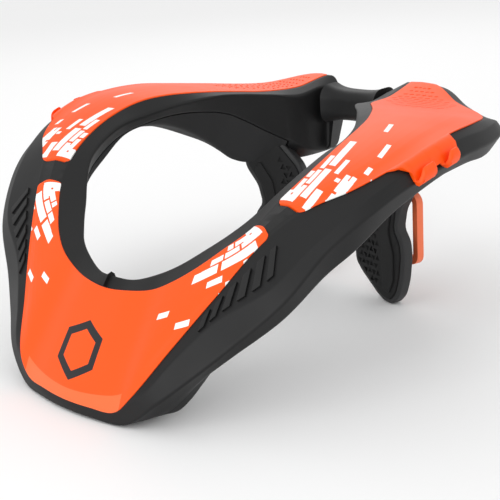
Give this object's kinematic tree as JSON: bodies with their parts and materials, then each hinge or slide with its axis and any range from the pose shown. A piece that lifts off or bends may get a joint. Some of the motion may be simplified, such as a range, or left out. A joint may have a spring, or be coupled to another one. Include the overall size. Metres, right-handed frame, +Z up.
{
  "type": "motocross neck brace",
  "caption": "Rigid collar neck brace with an open neck ring, inset cover panels, soft underside liner and rear legs with pads and strap loops.",
  "frame": {"origin": "middle of the footprint, at the surface on which the brace rests", "axes": "+Z up, -Y towards the wearer's front, +X towards the wearer's left"},
  "size_m": [0.306, 0.2815, 0.1359],
  "materials": {
    "chassis_black": "fine-grained satin nylon",
    "liner_foam": "matte moulded foam",
    "cover_orange": "smooth satin with a printed block pattern",
    "leg_grey": "satin nylon",
    "pad_black": "matte moulded foam with triangular dimples",
    "loop_orange": "smooth half-gloss"
  },
  "bodies": {
    "root": {"chassis": "chassis_black", "liner": "liner_foam", "front_plate": "cover_orange", "side_cover_left": "cover_orange", "side_cover_right": "cover_orange", "scapula_leg_left": "leg_grey", "scapula_leg_right": "leg_grey", "scapula_pad_left": "pad_black", "scapula_pad_right": "pad_black", "strap_loop_left": "loop_orange", "strap_loop_right": "loop_orange"}
  },
  "joints": []
}
